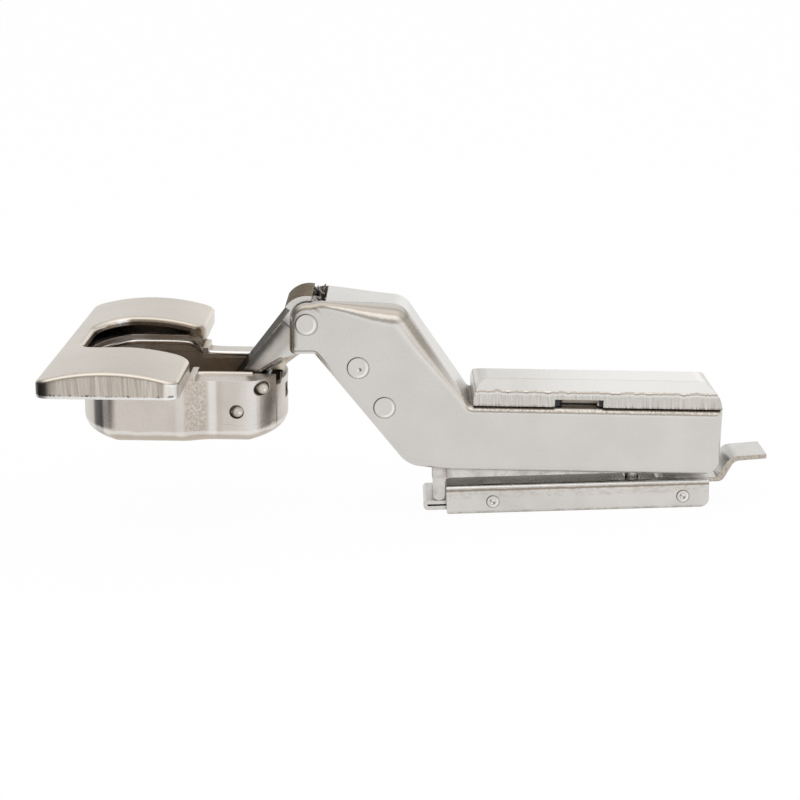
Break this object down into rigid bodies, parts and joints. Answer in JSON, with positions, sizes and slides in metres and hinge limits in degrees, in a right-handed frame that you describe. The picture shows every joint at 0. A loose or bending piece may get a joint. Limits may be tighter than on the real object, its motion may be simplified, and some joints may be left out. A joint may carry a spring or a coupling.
{
  "type": "cranked cup hinge",
  "caption": "Concealed cup hinge for an inset door, with a fully cranked clip-on arm, two links, a round cup, and covers over the cup flange and the arm.",
  "frame": {"origin": "midway between the two clip pins, on the plane that the clip channel rests on", "axes": "+X along the arm towards its rear, +Y across the hinge, +Z away from the mounting plate"},
  "size_m": [0.1201, 0.058, 0.0391],
  "materials": {
    "arm_nickel": "satin nickel plate",
    "cup_nickel": "satin nickel plate with drawing marks",
    "cover_nickel": "bright nickel plate",
    "cap_nickel": "brushed nickel plate",
    "clip_nickel": "bright nickel plate",
    "link_nickel": "bright nickel plate",
    "rivet_nickel": "turned nickel plate",
    "spring_steel": "oiled spring wire",
    "screw_zinc": "zinc plate",
    "leaf_steel": "plain steel",
    "clip_plastic": "black"
  },
  "bodies": {
    "base": {"clip_channel": "clip_nickel", "clip_pin_front": "rivet_nickel", "clip_pin_rear": "rivet_nickel", "front_hook": "clip_nickel", "lever_spring": "spring_steel"},
    "adjuster": {"adjuster_plate": "clip_nickel", "tilt_pin": "rivet_nickel"},
    "arm": {"hinge_arm": "arm_nickel", "rivet_front": "rivet_nickel", "rivet_middle": "rivet_nickel", "rivet_rear": "rivet_nickel", "spacer_sleeve": "link_nickel", "link_washers": "link_nickel", "closing_spring": "spring_steel", "cap_clip": "clip_plastic", "clip_leaf": "leaf_steel"},
    "outer_link": {"outer_link": "link_nickel"},
    "inner_link": {"inner_link": "link_nickel"},
    "cup": {"cup_shell": "cup_nickel", "link_pin_upper": "rivet_nickel", "link_pin_lower": "rivet_nickel"},
    "cover": {"cup_cover": "cover_nickel"},
    "cap": {"arm_cap": "cap_nickel"},
    "lever": {"release_lever": "clip_nickel"},
    "side_screw": {"side_screw": "screw_zinc"},
    "depth_cam": {"depth_cam": "screw_zinc"}
  },
  "joints": [
    {"name": "depth_slide", "type": "slide", "parent": "base", "child": "adjuster", "axis": [1, 0, 0], "range_m": [-0.002, 0]},
    {"name": "depth_cam_turn", "type": "hinge", "parent": "adjuster", "child": "depth_cam", "pos_m": [0.008, 0, 0.0096], "axis": [0, 0, 1], "range_deg": [0, 57]},
    {"name": "side_tilt", "type": "hinge", "parent": "adjuster", "child": "arm", "pos_m": [0.017, 0, 0.0081], "axis": [0, 1, 0], "range_deg": [-2.5, 1]},
    {"name": "side_screw_turn", "type": "hinge", "parent": "adjuster", "child": "side_screw", "pos_m": [-0.01596, 0, 0.00968], "axis": [0.048, 0, 0.9988], "range_deg": [-518, 208]},
    {"name": "outer_pivot", "type": "hinge", "parent": "arm", "child": "outer_link", "pos_m": [-0.04715, 0, 0.03461], "axis": [0, 1, 0], "range_deg": [-32.1, 0]},
    {"name": "inner_pivot", "type": "hinge", "parent": "arm", "child": "inner_link", "pos_m": [-0.03876, 0, 0.0269], "axis": [0, 1, 0], "range_deg": [-53.6, 0]},
    {"name": "door_swing", "type": "hinge", "parent": "outer_link", "child": "cup", "pos_m": [-0.0591, 0, 0.0212], "axis": [0, 1, 0], "range_deg": [0, 119.17]},
    {"name": "cap_lift", "type": "slide", "parent": "arm", "child": "cap", "axis": [0.048, 0, 0.9988], "range_m": [0, 0.01]},
    {"name": "cover_lift", "type": "slide", "parent": "cup", "child": "cover", "axis": [0.0454, 0, 0.999], "range_m": [0, 0.01]},
    {"name": "lever_press", "type": "hinge", "parent": "base", "child": "lever", "pos_m": [0.0164, 0, 0.002], "axis": [0, 1, 0], "range_deg": [0, 8], "stiffness_Nm_per_rad": 0.02, "springref_deg": -17.19}
  ],
  "couplings": [
    {"joint": "depth_cam_turn", "follows": "depth_slide", "rad_per_m": -492.18},
    {"joint": "side_screw_turn", "follows": "side_tilt", "ratio": 207},
    {"joint": "outer_pivot", "follows": "door_swing", "ratio": -0.26662},
    {"joint": "inner_pivot", "follows": "door_swing", "ratio": -0.44736}
  ]
}
